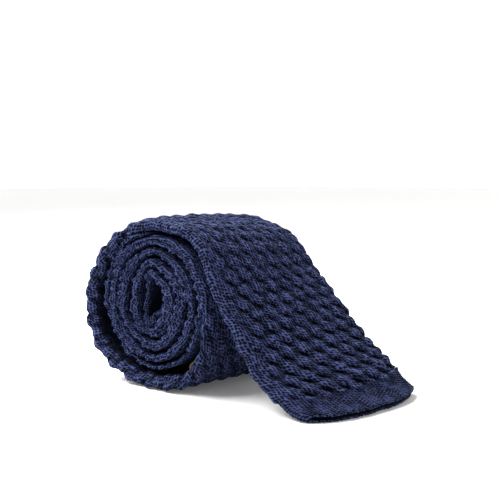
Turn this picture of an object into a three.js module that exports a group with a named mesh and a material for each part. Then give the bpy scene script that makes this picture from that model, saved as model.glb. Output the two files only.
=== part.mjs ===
// A knitted necktie, folded in half and rolled up from the fold, with its wide blade laid out.
// Millimetres, +Z up. X runs along the blade that lies out of the roll, Y across the tie.
// The tie is a flat knitted tube. Its wide half wraps the roll from outside, and its narrow
// half lies inside the wide half, turn by turn, to the fold at the core.

import * as THREE from "three";

// Widths of the tie
const wideWidth = 65;
const rollWidth = 63;
const neckWidth = 60;
const narrowWidth = 61;

// Thicknesses of the flattened tube: bobble knit, plain hem, and knit pressed in the roll
const bladeThickness = 4.4;
const hemThickness = 3.2;
const pressedThickness = 2.1;
const mouthGap = 0.8;
const foldedEdge = 2.4;
const crown = 1.3;

// Clearance between pieces and between the turns of the roll
const clearance = 0.3;

// The roll: turns of the folded tie between its outside and the slot at its core
const turns = 5.3;
const coreWidth = 3.4;
const coreHeight = 14.6;
const looseSlack = 8;
const floorFlat = 0.8;
const farSlump = 0.04;

// The blade that lies out of the roll. The fades are shares of its length
const bladeReach = 82;
const farDrift = 2;
const endBow = 8.8;
const cornerLift = 0.5;
const bowFade = 0.45;
const driftFade = 0.8;
const crownRise = 0.33;
const cornerShare = 0.2;
const shoulderLift = 4.4;
const wideHemLength = 12.5;
const narrowHemTurn = 30;

// The keeper strip across the back of the wide blade
const labelThickness = 0.9;
const labelLength = 54;
const labelStart = 300;
const labelEnd = 330;

// Angles round the roll in degrees, counted inwards from the right-hand side
const angleStep = 10;
const topAngle = 90;
const narrowEndAngle = 100;
const wideBladeEnd = 480;
const narrowBladeEnd = 840;
const looseTurnEnd = narrowEndAngle + 360;
const hollowEnd = 330;
const crownFrom = 150;
const crownTo = 250;
const bladeStations = 24;
const hemStations = 6;
const foldStationCount = 6;

const navy = 0x272c44;
const darkNavy = 0x20253b;
const labelGrey = 0x6b6762;

// Outside of the rolled disc, as a share of its radius, by angle
const discShape = [
  { angle: 0, radius: 1.07 },
  { angle: 45, radius: 1.035 },
  { angle: 80, radius: 0.965 },
  { angle: 100, radius: 0.936 },
  { angle: 135, radius: 0.98 },
  { angle: 180, radius: 1.02 },
  { angle: 225, radius: 1.025 },
  { angle: 270, radius: 1.0 },
  { angle: 315, radius: 1.045 },
];

// How far the loose outer turn stands off the disc, as a share of its slack, by angle
const looseTurn = [
  { angle: 90, slack: 0.08 },
  { angle: 105, slack: 0.07 },
  { angle: 123, slack: 0.08 },
  { angle: 146, slack: 0.2 },
  { angle: 165, slack: 0.5 },
  { angle: 182, slack: 0.82 },
  { angle: 203, slack: 1 },
  { angle: 220, slack: 0.86 },
  { angle: 240, slack: 0.58 },
  { angle: 262, slack: 0.54 },
  { angle: 285, slack: 0.56 },
  { angle: 312, slack: 0.6 },
  { angle: 330, slack: 0.34 },
  { angle: 348, slack: 0.08 },
  { angle: 365, slack: 0 },
  { angle: 480, slack: 0 },
];

// Thickness of the outer turn from blade to pressed knit, as a share of the difference, by angle
const looseTurnThickness = [
  { angle: 90, full: 1 },
  { angle: 320, full: 1 },
  { angle: 370, full: 0.6 },
  { angle: 430, full: 0.25 },
  { angle: 460, full: 0 },
];

// Where the blade bends over the roll: lift of its edges, as shares of the shoulder's lift
const shoulder = [
  { angle: 90, near: 0, far: 0 },
  { angle: 73, near: 0.4, far: 0.1 },
  { angle: 56, near: 0.9, far: 0.2 },
  { angle: 40, near: 1, far: 0.2 },
  { angle: 24, near: 0.62, far: 0.25 },
];

// The blade's run to the floor: out along X and up from its rest, as shares of the run
const run = [
  { nearOut: 0.1, nearUp: 0.804, farOut: 0.162, farUp: 0.819 },
  { nearOut: 0.278, nearUp: 0.558, farOut: 0.323, farUp: 0.644 },
  { nearOut: 0.41, nearUp: 0.352, farOut: 0.475, farUp: 0.47 },
  { nearOut: 0.554, nearUp: 0.19, farOut: 0.623, farUp: 0.328 },
  { nearOut: 0.742, nearUp: 0.078, farOut: 0.775, farUp: 0.213 },
  { nearOut: 0.884, nearUp: 0.022, farOut: 0.884, farUp: 0.085 },
  { nearOut: 1, nearUp: 0, farOut: 1, farUp: 0 },
];

// Width of the tie along the roll, as a share between the two widths named, by angle
const wideTaper = { from: 90, to: 900, start: rollWidth, end: neckWidth };
const narrowTaper = { from: 100, to: 700, start: narrowWidth, end: neckWidth };

// Section of the flat tube: place across the width, share of the half thickness, and share of
// the crown that the front of a loose stretch has along its middle
const bladeSection = [
  { across: 0, height: 0.4, crown: 0 },
  { across: 0.03, height: 1, crown: 0 },
  { across: 0.27, height: 1, crown: 0.8 },
  { across: 0.5, height: 1, crown: 1 },
  { across: 0.73, height: 1, crown: 0.8 },
  { across: 0.97, height: 1, crown: 0 },
  { across: 1, height: 0.4, crown: 0 },
];
const rollSection = [
  { across: 0, height: 0.4, crown: 0 },
  { across: 0.03, height: 1, crown: 0 },
  { across: 0.97, height: 1, crown: 0 },
  { across: 1, height: 0.4, crown: 0 },
];

const degree = Math.PI / 180;
const pairPitch = 2 * (pressedThickness + clearance);
const coreRadius = (coreWidth + coreHeight) / 4;
const discRadius = coreRadius + turns * pairPitch;
const foldAngle = narrowEndAngle + angleStep * Math.round((turns - 0.5) * 360 / angleStep);

function lerp(a, b, share) {
  return a + (b - a) * share;
}

function clamp01(value) {
  return Math.min(1, Math.max(0, value));
}

function smooth(value) {
  const t = clamp01(value);
  return t * t * (3 - 2 * t);
}

// Reads a column of a table by angle, with a smooth course between its rows
function readTable(table, column, angle) {
  let index = 0;
  while (index < table.length - 2 && table[index + 1].angle < angle) {
    index += 1;
  }
  const before = table[Math.max(0, index - 1)];
  const start = table[index];
  const end = table[index + 1];
  const after = table[Math.min(table.length - 1, index + 2)];
  const span = end.angle - start.angle;
  const share = clamp01((angle - start.angle) / span);
  const startSlope = (end[column] - before[column]) / (end.angle - before.angle) * span;
  const endSlope = (after[column] - start[column]) / (after.angle - start.angle) * span;
  const square = share * share;
  const cube = square * share;
  return (2 * cube - 3 * square + 1) * start[column] + (cube - 2 * square + share) * startSlope
    + (3 * square - 2 * cube) * end[column] + (cube - square) * endSlope;
}

// The same for a table that closes on itself after a full turn
function readRing(table, column, angle) {
  const turned = ((angle % 360) + 360) % 360;
  const last = table[table.length - 1];
  const before = { ...last, angle: last.angle - 360 };
  const after = table.slice(0, 2).map((row) => ({ ...row, angle: row.angle + 360 }));
  return readTable([before, ...table, ...after], column, turned);
}

// Radius of the roll at an angle, at a depth counted in turns from its outside
function rollRadius(angle, depth) {
  const cos = Math.cos(angle * degree);
  const sin = Math.sin(angle * degree);
  const core = 1 / Math.hypot(cos * 2 / coreWidth, sin * 2 / coreHeight);
  const outside = discRadius * readRing(discShape, "radius", angle);
  return lerp(outside, core, depth / turns);
}

function depthAt(angle) {
  return (angle - narrowEndAngle) / 360;
}

// Front and back radius of the narrow half at an angle
function narrowRadii(angle) {
  return {
    front: rollRadius(angle, depthAt(angle) + 0.5) + clearance / 2,
    back: rollRadius(angle, depthAt(angle)) - clearance / 2,
  };
}

// Back and front radius of the wide half at an angle: loose on its first turn
function wideRadii(angle) {
  if (angle >= looseTurnEnd) {
    return {
      front: rollRadius(angle, depthAt(angle) - 0.5) - clearance / 2,
      back: rollRadius(angle, depthAt(angle)) + clearance / 2,
    };
  }
  const below = rollRadius(angle, Math.max(0, depthAt(angle))) + clearance / 2;
  const back = below + looseSlack * readTable(looseTurn, "slack", angle);
  const joined = wideRadii(looseTurnEnd);
  const full = readTable(looseTurnThickness, "full", angle);
  const thickness = lerp(joined.front - joined.back, bladeThickness, full);
  return { front: back + thickness, back };
}

const axisHeight = wideRadii(270).front - floorFlat;

// A place on the roll, kept above the floor that its underside is pressed flat on
function rollPoint(angle, radius) {
  const x = radius * Math.cos(angle * degree);
  const z = Math.max(0, axisHeight + radius * Math.sin(angle * degree));
  return new THREE.Vector2(x, z);
}

function floorLimited(angle, radii) {
  const sin = Math.sin(angle * degree);
  const limit = sin < 0 ? axisHeight / -sin : Infinity;
  const sunk = Math.max(0, radii.front - limit);
  return { front: radii.front - sunk, back: radii.back - sunk };
}

// A station is one section of the tie: front and back places of its near and far edge, its
// width, the drift of its middle along Y, and the bow and the crown of its middle
function stationAt(front, back, width, crowned = 0) {
  return { near: { front, back }, far: { front, back }, width, drift: 0, bow: 0, crowned };
}

function rollStation(angle, radii, width, crowned = 0) {
  return stationAt(rollPoint(angle, radii.front), rollPoint(angle, radii.back), width, crowned);
}

function taperedWidth(taper, angle) {
  return lerp(taper.start, taper.end, smooth((angle - taper.from) / (taper.to - taper.from)));
}

function wideStation(angle) {
  const crowned = crown * (1 - smooth((angle - crownFrom) / (crownTo - crownFrom)));
  const radii = floorLimited(angle, wideRadii(angle));
  return rollStation(angle, radii, taperedWidth(wideTaper, angle), crowned);
}

function narrowStation(angle) {
  return rollStation(angle, narrowRadii(angle), taperedWidth(narrowTaper, angle));
}

// The fold at the core: sections that turn half round, about the line between both halves
function foldStations() {
  const middle = rollRadius(foldAngle, depthAt(foldAngle));
  const wide = wideRadii(foldAngle);
  const narrow = narrowRadii(foldAngle);
  const radial = new THREE.Vector2(Math.cos(foldAngle * degree), Math.sin(foldAngle * degree));
  const onward = new THREE.Vector2(-radial.y, radial.x);
  const centre = rollPoint(foldAngle, middle);
  const stations = [];
  for (let i = 1; i < foldStationCount; i += 1) {
    const share = i / foldStationCount;
    const turn = Math.PI * share;
    const reachFront = lerp(wide.front - middle, middle - narrow.front, share);
    const reachBack = clearance / 2;
    const direction = radial.clone().multiplyScalar(Math.cos(turn));
    direction.addScaledVector(onward, Math.sin(turn));
    const front = centre.clone().addScaledVector(direction, reachFront);
    const back = centre.clone().addScaledVector(direction, reachBack);
    stations.push(stationAt(front, back, neckWidth));
  }
  return stations;
}

// Course of one edge of the blade from the top of the roll to the wide end
function edgeCurve(side) {
  const points = shoulder.map((row) => {
    const beneath = wideRadii(row.angle + 360).front;
    const onRoll = wideRadii(topAngle).back + bladeThickness / 2;
    const clear = beneath + clearance + bladeThickness / 2 + shoulderLift * row[side];
    const radius = row.angle === topAngle ? onRoll : clear;
    return rollPoint(row.angle, radius);
  });
  const leave = points[points.length - 1];
  const lift = side === "far" ? cornerLift : 0;
  const rest = hemThickness / 2;
  for (const row of run) {
    const x = lerp(leave.x, bladeReach, row[side + "Out"]);
    const atCorner = smooth(1 - (1 - row[side + "Out"]) / cornerShare);
    const z = lerp(rest, leave.y, row[side + "Up"]) + lift * atCorner;
    points.push(new THREE.Vector2(x, z));
  }
  return new THREE.CatmullRomCurve3(points.map((p) => new THREE.Vector3(p.x, 0, p.y)));
}

const edges = { near: edgeCurve("near"), far: edgeCurve("far") };

function edgeAt(side, fromEnd, thickness) {
  const curve = edges[side];
  const share = clamp01(1 - fromEnd / curve.getLength());
  const place = curve.getPointAt(share);
  const along = curve.getTangentAt(share);
  const upright = smooth(2 * share);
  const normal = new THREE.Vector2(lerp(0, -along.z, upright), lerp(1, along.x, upright));
  normal.normalize();
  const middle = new THREE.Vector2(place.x, place.z);
  const front = middle.clone().addScaledVector(normal, thickness / 2);
  const back = middle.clone().addScaledVector(normal, -thickness / 2);
  back.y = Math.max(0, back.y);
  front.y = Math.max(thickness, front.y);
  return { front, back };
}

const bladeLength = edges.near.getLength();

function bladeStation(fromEnd, thickness, crowned = 0) {
  const share = fromEnd / bladeLength;
  const farFromEnd = share * edges.far.getLength();
  return {
    near: edgeAt("near", fromEnd, thickness),
    far: edgeAt("far", farFromEnd, thickness),
    width: lerp(wideWidth, rollWidth, share),
    drift: farDrift * (1 - smooth(share / driftFade)),
    bow: endBow * (1 - smooth(share / bowFade)),
    crowned: crowned * smooth(share / crownRise),
  };
}

// A place in the section of a station. Across runs from the near to the far edge, height from
// the back face at -1 to the front face at 1
function sectionPoint(station, across, height, crownShare = 0) {
  const thickness = station.near.front.distanceTo(station.near.back);
  const share = (height + 1) / 2 + crownShare * station.crowned / thickness;
  const near = station.near.back.clone().lerp(station.near.front, share);
  const far = station.far.back.clone().lerp(station.far.front, share);
  const place = near.lerp(far, across);
  const y = (across - 0.5) * station.width + station.drift;
  const bow = station.bow * (1 - Math.abs(2 * across - 1) ** 3);
  const slump = 1 - farSlump * (y / wideWidth + 0.5);
  return new THREE.Vector3(place.x + bow, y, place.y * slump);
}

function outerRing(station, section) {
  const front = section.map((row) => sectionPoint(station, row.across, row.height, row.crown));
  const back = section.map((row) => sectionPoint(station, row.across, -row.height));
  return [...front, ...back.reverse()];
}

// The flat hollow between both walls of the tube
function innerRing(station, section) {
  const edge = foldedEdge / station.width;
  const thickness = station.near.front.distanceTo(station.near.back);
  const half = mouthGap / thickness;
  const front = section.map((row) => (
    sectionPoint(station, lerp(edge, 1 - edge, row.across), row.height * half)));
  const back = section.map((row) => (
    sectionPoint(station, lerp(edge, 1 - edge, row.across), -row.height * half)));
  return [...front, ...back.reverse()];
}

// Joins rings of places into one closed body. With a hollow, its rings start at the first
// ring and either run through to the last or stop short in a pocket
function closedBody(rings, hollow = []) {
  const size = rings[0].length;
  const half = size / 2;
  const points = [...rings, ...hollow].flat();
  const faces = [];
  const quad = (a, b, c, d) => faces.push(a, b, c, a, c, d);
  const skin = (first, count, inward) => {
    for (let ring = 0; ring < count - 1; ring += 1) {
      for (let i = 0; i < size; i += 1) {
        const next = (i + 1) % size;
        const a = first + ring * size + i;
        const b = first + ring * size + next;
        const c = b + size;
        const d = a + size;
        if (inward) {
          quad(a, b, c, d);
        } else {
          quad(a, d, c, b);
        }
      }
    }
  };
  const cap = (first, facesBack) => {
    for (let i = 0; i < half - 1; i += 1) {
      const a = first + i;
      const b = first + i + 1;
      const c = first + size - 2 - i;
      const d = first + size - 1 - i;
      if (facesBack) {
        quad(a, b, c, d);
      } else {
        quad(a, d, c, b);
      }
    }
  };
  const rim = (outer, inner, facesBack) => {
    for (let i = 0; i < size; i += 1) {
      const next = (i + 1) % size;
      if (facesBack) {
        quad(outer + i, outer + next, inner + next, inner + i);
      } else {
        quad(outer + i, inner + i, inner + next, outer + next);
      }
    }
  };
  const innerStart = rings.length * size;
  skin(0, rings.length, false);
  if (hollow.length > 0) {
    skin(innerStart, hollow.length, true);
    rim(0, innerStart, true);
  } else {
    cap(0, true);
  }
  const lastOuter = (rings.length - 1) * size;
  const lastInner = innerStart + (hollow.length - 1) * size;
  if (hollow.length === rings.length) {
    rim(lastOuter, lastInner, false);
  } else {
    cap(lastOuter, false);
    if (hollow.length > 0) {
      cap(lastInner, true);
    }
  }
  return facingOut(points, faces);
}

// Makes the geometry, with its faces turned so that they enclose a positive volume
function facingOut(points, faces) {
  let volume = 0;
  for (let i = 0; i < faces.length; i += 3) {
    const [a, b, c] = [points[faces[i]], points[faces[i + 1]], points[faces[i + 2]]];
    volume += a.dot(b.clone().cross(c));
  }
  const index = volume > 0 ? faces : faces.slice().reverse();
  const geometry = new THREE.BufferGeometry();
  geometry.setFromPoints(points);
  geometry.setIndex(index);
  geometry.computeVertexNormals();
  return geometry;
}

function piece(name, geometry, color) {
  const material = new THREE.MeshStandardMaterial({ color, roughness: 0.95, metalness: 0 });
  const mesh = new THREE.Mesh(geometry, material);
  mesh.name = name;
  return mesh;
}

// Angles of the sections from one end of a piece to the other, each end half a clearance short
function angles(from, to, radii) {
  const gapAt = (angle) => clearance / 2 / radii(angle).back / degree;
  const direction = Math.sign(to - from);
  const list = [from + direction * gapAt(from)];
  for (let angle = from + direction * angleStep; (to - angle) * direction > 0;) {
    list.push(angle);
    angle += direction * angleStep;
  }
  list.push(to - direction * gapAt(to));
  return list;
}

function wideHem() {
  const length = wideHemLength - clearance / 2;
  const stations = [];
  for (let i = 0; i <= hemStations; i += 1) {
    stations.push(bladeStation(length * i / hemStations, hemThickness));
  }
  const outer = stations.map((station) => outerRing(station, bladeSection));
  const inner = stations.map((station) => innerRing(station, bladeSection));
  return piece("wide_hem", closedBody(outer, inner), navy);
}

function wideBlade() {
  const start = wideHemLength + clearance / 2;
  const stations = [];
  for (let i = 0; i < bladeStations; i += 1) {
    const fromEnd = lerp(start, bladeLength, i / bladeStations);
    stations.push(bladeStation(fromEnd, bladeThickness, crown));
  }
  let hollowCount = stations.length;
  for (const angle of [topAngle, ...angles(topAngle, wideBladeEnd, wideRadii).slice(1)]) {
    stations.push(wideStation(angle));
    if (angle <= hollowEnd) {
      hollowCount = stations.length;
    }
  }
  const outer = stations.map((station) => outerRing(station, bladeSection));
  const inner = stations.slice(0, hollowCount).map((station) => innerRing(station, bladeSection));
  return piece("wide_blade", closedBody(outer, inner), navy);
}

function neck() {
  const inwards = angles(wideBladeEnd, foldAngle, wideRadii).slice(0, -1).map(wideStation);
  const outwards = angles(foldAngle, narrowBladeEnd, narrowRadii).slice(1).map(narrowStation);
  const atFold = [wideStation(foldAngle), ...foldStations(), narrowStation(foldAngle)];
  const stations = [...inwards, ...atFold, ...outwards];
  const rings = stations.map((station) => outerRing(station, rollSection));
  return piece("neck", closedBody(rings), darkNavy);
}

function narrowBlade() {
  const hemStart = narrowEndAngle + narrowHemTurn;
  const list = angles(narrowBladeEnd, hemStart, narrowRadii);
  const rings = list.map((angle) => outerRing(narrowStation(angle), rollSection));
  return piece("narrow_blade", closedBody(rings), darkNavy);
}

function narrowHem() {
  const hemStart = narrowEndAngle + narrowHemTurn;
  const list = angles(hemStart, narrowEndAngle, narrowRadii);
  const rings = list.map((angle) => outerRing(narrowStation(angle), rollSection));
  return piece("narrow_hem", closedBody(rings), navy);
}

function keeperLabel() {
  const rings = [];
  for (const angle of angles(labelStart, labelEnd, wideRadii)) {
    const front = floorLimited(angle, wideRadii(angle)).back - clearance;
    const station = rollStation(angle, { front, back: front - labelThickness }, labelLength);
    rings.push(outerRing(station, rollSection));
  }
  return piece("keeper_label", closedBody(rings), labelGrey);
}

const tie = new THREE.Group();
tie.add(wideHem(), wideBlade(), neck(), narrowBlade(), narrowHem(), keeperLabel());

// The origin is the middle of the underside of the whole tie
const bounds = new THREE.Box3().setFromObject(tie);
const middle = bounds.getCenter(new THREE.Vector3());
tie.position.set(-middle.x, -middle.y, -bounds.min.z);

export default tie;
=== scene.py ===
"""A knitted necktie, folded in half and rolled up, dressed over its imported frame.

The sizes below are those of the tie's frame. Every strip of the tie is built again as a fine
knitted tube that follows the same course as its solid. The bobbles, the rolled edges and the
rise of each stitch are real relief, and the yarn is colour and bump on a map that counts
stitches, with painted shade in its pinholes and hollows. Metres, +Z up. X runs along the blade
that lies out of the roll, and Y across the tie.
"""

import math

import bpy
import numpy as np
from bpy.props import FloatProperty, FloatVectorProperty, IntProperty, PointerProperty
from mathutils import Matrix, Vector


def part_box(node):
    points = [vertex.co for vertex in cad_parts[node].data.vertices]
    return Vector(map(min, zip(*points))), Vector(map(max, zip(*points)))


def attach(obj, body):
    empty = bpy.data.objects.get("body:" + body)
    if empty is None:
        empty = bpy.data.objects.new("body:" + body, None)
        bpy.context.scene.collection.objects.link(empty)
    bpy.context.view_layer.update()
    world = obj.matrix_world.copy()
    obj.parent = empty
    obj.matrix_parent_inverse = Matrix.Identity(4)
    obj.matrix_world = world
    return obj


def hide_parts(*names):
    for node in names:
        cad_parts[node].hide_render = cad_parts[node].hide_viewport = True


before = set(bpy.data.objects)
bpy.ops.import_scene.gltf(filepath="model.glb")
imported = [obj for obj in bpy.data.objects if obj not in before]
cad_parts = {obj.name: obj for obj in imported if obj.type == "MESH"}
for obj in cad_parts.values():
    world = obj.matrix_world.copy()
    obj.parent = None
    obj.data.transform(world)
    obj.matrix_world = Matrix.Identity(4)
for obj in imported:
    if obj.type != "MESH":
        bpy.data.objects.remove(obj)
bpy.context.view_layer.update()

bl_info = {
    "name": "Rolled Knit Tie",
    "version": (1, 0, 0),
    "blender": (4, 5, 0),
    "location": "3D View > Sidebar > Knit Tie",
    "description": "Knits the strips of a rolled necktie over its frame",
    "category": "Add Mesh",
}

MM = 0.001
FULL_TURN = 360.0
ABOVE_FLOOR = 0.02 * MM

# Outside of the rolled disc, as a share of its radius, by angle in degrees
DISC_SHAPE = (
    (0, 1.07), (45, 1.035), (80, 0.965), (100, 0.936), (135, 0.98),
    (180, 1.02), (225, 1.025), (270, 1.0), (315, 1.045),
)

# How far the loose outer turn stands off the disc, as a share of its slack, by angle
LOOSE_TURN = (
    (90, 0.08), (105, 0.07), (123, 0.08), (146, 0.2), (165, 0.5), (182, 0.82), (203, 1),
    (220, 0.86), (240, 0.58), (262, 0.54), (285, 0.56), (312, 0.6), (330, 0.34),
    (348, 0.08), (365, 0), (480, 0),
)

# Thickness of the outer turn between pressed and loose knit, by angle
TURN_FULLNESS = ((90, 1), (320, 1), (370, 0.6), (430, 0.25), (460, 0))

# Where the blade bends over the roll: angle, lift of the near edge, lift of the far edge
SHOULDER = ((90, 0, 0), (73, 0.4, 0.1), (56, 0.9, 0.2), (40, 1, 0.2), (24, 0.62, 0.25))

# The blade's run to the floor as shares: near edge out and up, far edge out and up
RUN = (
    (0.1, 0.804, 0.162, 0.819), (0.278, 0.558, 0.323, 0.644), (0.41, 0.352, 0.475, 0.47),
    (0.554, 0.19, 0.623, 0.328), (0.742, 0.078, 0.775, 0.213), (0.884, 0.022, 0.884, 0.085),
    (1, 0, 1, 0),
)

# How far the rings of the roll's ends stand out, in millimetres, by radius in millimetres
RING_STEPS = (
    (0, -7), (5, -5.5), (8, -2), (11, 0.2), (14, -0.4), (17.5, 1.1), (21, 0.3), (24, 0.9),
    (28, -0.4),
)

# Places round the roll in degrees, counted inwards from its right-hand side
TOP = 90
RUN_END = 112
NARROW_END = 100
NARROW_HEM_END = 130
BLADE_END = 480
NARROW_BLADE_END = 840
LABEL_FROM, LABEL_TO = 300, 330
CROWN_FROM, CROWN_TO = 150, 250
WIDE_TAPER = (90, 900)
NARROW_TAPER = (100, 700)

# Steps between the sections of a strip
BLADE_STEP = 0.3 * MM
TURN_STEP = 0.62 * MM
ROLLED_STEP = 0.6 * MM
HEM_STEP = 0.35 * MM
NARROW_HEM_STEP = 0.4 * MM
SEAM = 0.03 * MM

# Places across the front of a section, round each of its edges and across its back
BLADE_PLACES = (186, 14, 20)
TURN_PLACES = (116, 14, 20)
HEM_PLACES = (140, 8, 140)
ROLLED_PLACES = (14, 14, 14)
LABEL_PLACES = (60, 6, 60)

# Stitches of the rolled strips are smaller than those of the wide half by this factor
ROLLED_FINER = 1.22

# The wide half: where bobbles begin in the hem, the swollen, waving rim of its loose turn, and
# the painted shade inside that turn
BOBBLES_BEGIN = 4 * MM
RIM_SWELL = 2.2 * MM
RIM_WAVE = 0.7 * MM
INSIDE_PAINTED_SHADE = -0.65

# The hem's wall, the rounded lip of its mouth, the ripple of its faces and its round corner
HEM_WALL = 1.0 * MM
LIP_REACH = 0.45 * MM
LIP_ROUND = 1.2 * MM
LIP_ROWS = 5
HEM_RIPPLE = 0.25 * MM
CORNER_ROUND = 1.2 * MM

# The rolled strips: how far their edges wander and bead, and how far apart the beads are
SLOW_WANDER = 1.2 * MM
QUICK_WANDER = 0.7 * MM
EDGE_OUT = 0.4 * MM
BEAD_SPACING = 4.1 * MM
BEAD_OUT = 0.7 * MM
BEAD_RISE = 0.3 * MM

# The core: how far it is pinched, moved, stretched upwards, blunted and swayed
CORE_REACH = 9 * MM
CORE_PINCH, CORE_STRETCH, SLOT_BLUNT = 0.45, 0.1, 0.17
CORE_LEFT, CORE_DOWN = 3.0 * MM, 1.5 * MM
SWAY_X, SWAY_Z = 1.4 * MM, 0.8 * MM

# The keeper strip peeps out of the gap by this much, round this angle and over this spread
PEEP = 3.5 * MM
PEEP_AT, PEEP_SPREAD = 313, 6

# The stage: radius of its floor, its cove and the top of its wall, and its sides by glow
FLOOR_REACH, COVE_RADIUS, WALL_TOP = 1.4, 0.8, 2.6
STAGE_SIDES = 64
BEHIND = range(8, 40)
FLOOR_GLOW, BACKDROP_GLOW, SIDE_GLOW, ROOM_GLOW = 0.06, 0.78, 0.1, 0.15
PALE = (0.9, 0.898, 0.895, 1)
WHITE = (1.0, 1.0, 1.0, 1)

# Lights: name, place, what it points at, size and power
LIGHTS = (
    ("key_light", (-0.31, 0.03, 0.44), (0.0, 0.0, 0.02), 0.5, 6.8),
    ("front_light", (-0.22, -0.36, 0.62), (0.0, 0.0, 0.03), 0.4, 4.9),
)
CAMERA_PLACE = (0.32227, -0.33782, 0.10956)
CAMERA_WAY = (-0.6870, 0.7177, -0.1137)
FOCAL_LENGTH, SENSOR_WIDTH = 82.8, 36


def length(name, description, default):
    """A size in metres that shows in the sidebar."""
    return FloatProperty(name=name, description=description, default=default,
                         unit="LENGTH", subtype="DISTANCE", precision=5)


class TieSizes(bpy.types.PropertyGroup):
    """Sizes of the tie and of its roll."""

    wide_width: length("Wide width", "Width of the wide blade at its end", 0.065)
    roll_width: length("Roll width", "Width of the wide half on the roll", 0.063)
    neck_width: length("Neck width", "Width of the tie at its fold", 0.060)
    narrow_width: length("Narrow width", "Width of the narrow end", 0.061)
    blade_thickness: length("Blade thickness", "Loose bobble knit, both layers", 0.0044)
    hem_thickness: length("Hem thickness", "Plain hem, both layers", 0.0032)
    pressed_thickness: length("Pressed thickness", "Knit pressed in the roll", 0.0021)
    crown: length("Crown", "Rise of the middle of the loose blade", 0.0013)
    clearance: length("Clearance", "Gap between the turns of the roll", 0.0003)
    turns: FloatProperty(name="Turns", description="Turns of the folded tie", default=5.3)
    core_width: length("Core width", "Width of the slot at the core", 0.0034)
    core_height: length("Core height", "Height of the slot at the core", 0.0146)
    loose_slack: length("Loose slack", "Largest gap inside the outer turn", 0.008)
    floor_flat: length("Floor flat", "How far the roll is pressed flat on the floor", 0.0008)
    far_slump: FloatProperty(name="Far slump", description="Share by which the far side sinks",
                             default=0.04, subtype="FACTOR")
    blade_reach: length("Blade reach", "From the roll's axis to the wide end", 0.082)
    far_drift: length("Far drift", "Sideways drift of the wide end", 0.002)
    end_bow: length("End bow", "How far the wide end bows out at its middle", 0.0088)
    corner_lift: length("Corner lift", "Lift of the far corner off the floor", 0.0005)
    shoulder_lift: length("Shoulder lift", "Lift of the blade where it bends", 0.0044)
    hem_length: length("Hem length", "Plain knit at the wide end", 0.0125)
    label_length: length("Label length", "Keeper strip across the blade", 0.054)
    label_thickness: length("Label thickness", "Thickness of the keeper strip", 0.0009)


class KnitSizes(bpy.types.PropertyGroup):
    """The knit: its bobbles, its stitches and its colours."""

    bobble_length: length("Bobble length", "Pattern repeat along the tie", 0.0113)
    bobble_columns: IntProperty(name="Bobble columns", description="Round the flat tube",
                                default=17)
    bobble_height: length("Bobble height", "Relief of a bobble", 0.0016)
    bobble_tall: length("Bobble tall", "Reach of a bobble from its middle, downwards", 0.0027)
    bobble_wide: length("Bobble wide", "Reach of a bobble from its middle, sideways", 0.0027)
    crevice_wide: length("Crevice wide", "Reach of the crevice under a bobble", 0.0019)
    bobble_lean: length("Bobble lean", "How far bobbles hang over to one side", 0.0015)
    stitch_width: length("Stitch width", "One column of stitches", 0.00138)
    stitch_length: length("Stitch length", "One row of stitches", 0.00128)
    stitch_relief: length("Stitch relief", "Real relief of single stitches", 0.0003)
    stitch_depth: length("Stitch depth", "Depth of the stitch bump", 0.0007)
    navy: FloatVectorProperty(name="Navy", description="Colour of the yarn", size=3,
                              subtype="COLOR", default=(0.018, 0.024, 0.062))
    label_grey: FloatVectorProperty(name="Label grey", description="Keeper strip", size=3,
                                    subtype="COLOR", default=(0.07, 0.062, 0.052))


def smooth(value):
    """A soft step from 0 to 1."""
    t = np.clip(value, 0.0, 1.0)
    return t * t * (3 - 2 * t)


def lerp(a, b, share):
    return a + (b - a) * share


def read_table(rows, at, column=1):
    """A column of a table by angle, with a smooth course between its rows."""
    table = np.array(rows, float)
    angle, value = table[:, 0], table[:, column]
    last = len(table) - 1
    i = np.clip(np.searchsorted(angle, at) - 1, 0, last - 1)
    before, after = np.maximum(i - 1, 0), np.minimum(i + 2, last)
    span = angle[i + 1] - angle[i]
    t = np.clip((at - angle[i]) / span, 0, 1)
    slope_in = (value[i + 1] - value[before]) / (angle[i + 1] - angle[before]) * span
    slope_out = (value[after] - value[i]) / (angle[after] - angle[i]) * span
    return ((2 * t**3 - 3 * t**2 + 1) * value[i] + (t**3 - 2 * t**2 + t) * slope_in
            + (3 * t**2 - 2 * t**3) * value[i + 1] + (t**3 - t**2) * slope_out)


def read_ring(rows, at):
    """The same for a table that closes on itself after a full turn."""
    before = [(rows[-1][0] - FULL_TURN, rows[-1][1])]
    after = [(angle + FULL_TURN, value) for angle, value in rows[:2]]
    return read_table([*before, *rows, *after], np.mod(at, FULL_TURN))


class Stations:
    """Sections of the tie along its length: places of both edges, width, drift and bow."""

    def __init__(self, near, far, width, drift=0.0, bow=0.0, crown=0.0):
        count = len(near[0])
        self.near_front, self.near_back = near
        self.far_front, self.far_back = far
        for name, value in (("width", width), ("drift", drift), ("bow", bow), ("crown", crown)):
            setattr(self, name, np.broadcast_to(value, count).astype(float))

    def __add__(self, other):
        joined = Stations.__new__(Stations)
        for name, mine in vars(self).items():
            setattr(joined, name, np.concatenate([mine, getattr(other, name)]))
        return joined

    def thickness(self):
        return np.linalg.norm(self.near_front - self.near_back, axis=1)

    def along(self):
        """Length from the first section, along the middle of the tie."""
        middle = (self.near_front + self.near_back + self.far_front + self.far_back) / 4
        steps = np.linalg.norm(np.diff(middle, axis=0), axis=1)
        return np.concatenate([[0.0], np.cumsum(steps)])


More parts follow.
